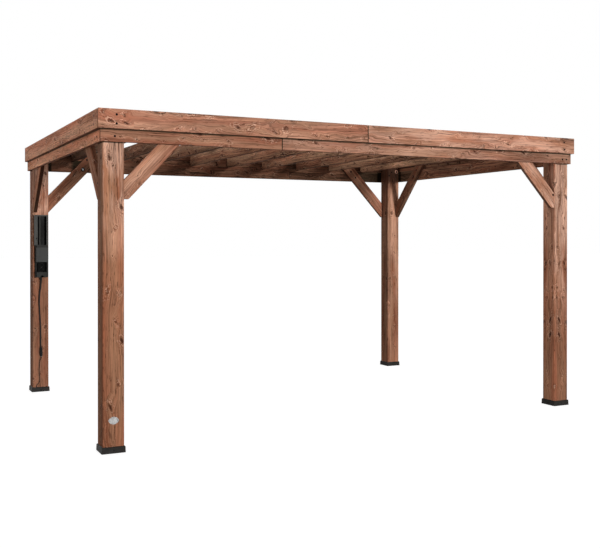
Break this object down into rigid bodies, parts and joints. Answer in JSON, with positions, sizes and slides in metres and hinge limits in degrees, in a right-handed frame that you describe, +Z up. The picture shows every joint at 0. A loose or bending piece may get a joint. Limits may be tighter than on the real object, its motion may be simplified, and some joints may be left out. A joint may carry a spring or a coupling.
{
  "type": "garden pergola",
  "caption": "Free-standing rectangular timber pergola with square posts, knee braces, open rafters and a power box with a cord on one post.",
  "frame": {"origin": "on the ground, in the middle of the four posts", "axes": "+X along the long front towards the right, +Y towards the rear, +Z up"},
  "size_m": [4.238, 3.006, 2.365],
  "materials": {
    "cedar": "stained red-brown, knotty, satin",
    "shoe_plastic": "moulded, matt",
    "housing_paint": "powder coated, matt",
    "cover_plastic": "moulded, matt",
    "badge_metal": "satin, blank",
    "cord_rubber": "matt",
    "connector_plastic": "moulded, matt"
  },
  "bodies": {
    "root": {"post_front_left": "cedar", "post_front_right": "cedar", "post_rear_left": "cedar", "post_rear_right": "cedar", "long_brace_front_left": "cedar", "long_brace_front_right": "cedar", "long_brace_rear_left": "cedar", "long_brace_rear_right": "cedar", "side_brace_front_left": "cedar", "side_brace_front_right": "cedar", "side_brace_rear_left": "cedar", "side_brace_rear_right": "cedar", "front_beam_left": "cedar", "front_beam_right": "cedar", "front_fascia_left": "cedar", "front_fascia_right": "cedar", "front_header": "cedar", "rear_beam_left": "cedar", "rear_beam_right": "cedar", "rear_fascia_left": "cedar", "rear_fascia_right": "cedar", "rear_header": "cedar", "left_beam": "cedar", "left_fascia": "cedar", "left_header": "cedar", "right_beam": "cedar", "right_fascia": "cedar", "right_header": "cedar", "rafter_1": "cedar", "rafter_2": "cedar", "rafter_3": "cedar", "rafter_4": "cedar", "rafter_5": "cedar", "rafter_6": "cedar", "rafter_7": "cedar", "rafter_8": "cedar", "rafter_9": "cedar", "splice_block_front": "cedar", "splice_block_rear": "cedar", "shoe_front_left": "shoe_plastic", "shoe_front_right": "shoe_plastic", "shoe_rear_left": "shoe_plastic", "shoe_rear_right": "shoe_plastic", "power_housing": "housing_paint", "pocket_rail": "housing_paint", "outlet_hood": "cover_plastic", "outlet_block": "cover_plastic", "blank_badge": "badge_metal", "power_cord": "cord_rubber", "supply_lead": "cord_rubber", "cord_gland": "cord_rubber", "cord_plug": "connector_plastic", "lead_coupler": "connector_plastic"}
  },
  "joints": []
}
